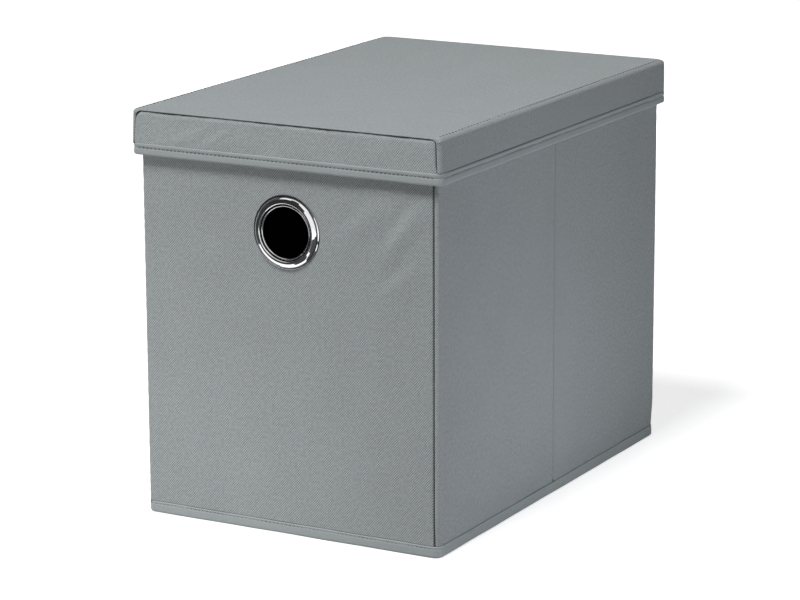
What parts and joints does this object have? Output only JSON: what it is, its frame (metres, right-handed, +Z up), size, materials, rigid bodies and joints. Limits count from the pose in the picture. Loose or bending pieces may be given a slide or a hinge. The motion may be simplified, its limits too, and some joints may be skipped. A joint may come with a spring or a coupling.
{
  "type": "storage box",
  "caption": "Collapsible cloth-covered storage box with a lift-off lid, a round metal finger eyelet, cardboard stiffened walls and sides that fold inward.",
  "frame": {"origin": "on the floor, under the middle of the box", "axes": "+Z up, -Y towards the front with the eyelet, +X to the right seen from the front"},
  "size_m": [0.2634, 0.3874, 0.315],
  "materials": {
    "outer_fabric": "matt mid-grey non-woven cloth with a fine diagonal emboss",
    "lining_fabric": "thin plain grey non-woven cloth",
    "binding_tape": "folded grey cloth tape, stitched along one edge",
    "cardboard": "bare brown board",
    "eyelet_metal": "polished"
  },
  "bodies": {
    "box": {"bottom_sheet": "outer_fabric", "base_board": "cardboard", "base_cover": "lining_fabric", "bottom_binding": "binding_tape", "front_board": "cardboard", "front_panel": "outer_fabric", "front_lining": "lining_fabric", "front_rim_tape": "binding_tape", "front_right_corner": "outer_fabric", "front_left_corner": "outer_fabric", "eyelet_front": "eyelet_metal", "eyelet_back": "eyelet_metal"},
    "right_front_half": {"right_front_board": "cardboard", "right_front_panel": "outer_fabric", "right_front_lining": "lining_fabric", "right_front_rim_tape": "binding_tape"},
    "right_back_half": {"right_back_board": "cardboard", "right_back_panel": "outer_fabric", "right_back_lining": "lining_fabric", "right_back_rim_tape": "binding_tape"},
    "back_wall": {"back_board": "cardboard", "back_panel": "outer_fabric", "back_lining": "lining_fabric", "back_rim_tape": "binding_tape", "back_right_corner": "outer_fabric", "back_left_corner": "outer_fabric"},
    "left_front_half": {"left_front_board": "cardboard", "left_front_panel": "outer_fabric", "left_front_lining": "lining_fabric", "left_front_rim_tape": "binding_tape"},
    "left_back_half": {"left_back_board": "cardboard", "left_back_panel": "outer_fabric", "left_back_lining": "lining_fabric", "left_back_rim_tape": "binding_tape"},
    "lid": {"lid_top_board": "cardboard", "lid_front_board": "cardboard", "lid_back_board": "cardboard", "lid_right_board": "cardboard", "lid_left_board": "cardboard", "lid_cover": "outer_fabric", "lid_front_skirt": "outer_fabric", "lid_back_skirt": "outer_fabric", "lid_lining": "lining_fabric", "lid_hem": "binding_tape"}
  },
  "joints": [
    {"name": "right_front_fold", "type": "hinge", "parent": "box", "child": "right_front_half", "pos_m": [0.1225, -0.1845, 0.155], "axis": [0, 0, 1], "range_deg": [0, 40]},
    {"name": "right_crease_fold", "type": "hinge", "parent": "right_front_half", "child": "right_back_half", "pos_m": [0.1265, 0, 0.155], "axis": [0, 0, 1], "range_deg": [-80, 0]},
    {"name": "back_right_fold", "type": "hinge", "parent": "right_back_half", "child": "back_wall", "pos_m": [0.1225, 0.1845, 0.155], "axis": [0, 0, 1], "range_deg": [0, 40]},
    {"name": "left_front_fold", "type": "hinge", "parent": "box", "child": "left_front_half", "pos_m": [-0.1225, -0.1845, 0.155], "axis": [0, 0, 1], "range_deg": [-40, 0]},
    {"name": "left_crease_fold", "type": "hinge", "parent": "left_front_half", "child": "left_back_half", "pos_m": [-0.1265, 0, 0.155], "axis": [0, 0, 1], "range_deg": [0, 80]},
    {"name": "lid_lift", "type": "slide", "parent": "box", "child": "lid", "axis": [0, 0, 1], "range_m": [0, 0.3]}
  ],
  "couplings": [
    {"joint": "right_crease_fold", "follows": "right_front_fold", "ratio": -2},
    {"joint": "back_right_fold", "follows": "right_front_fold", "ratio": 1},
    {"joint": "left_front_fold", "follows": "right_front_fold", "ratio": -1},
    {"joint": "left_crease_fold", "follows": "right_front_fold", "ratio": 2}
  ]
}
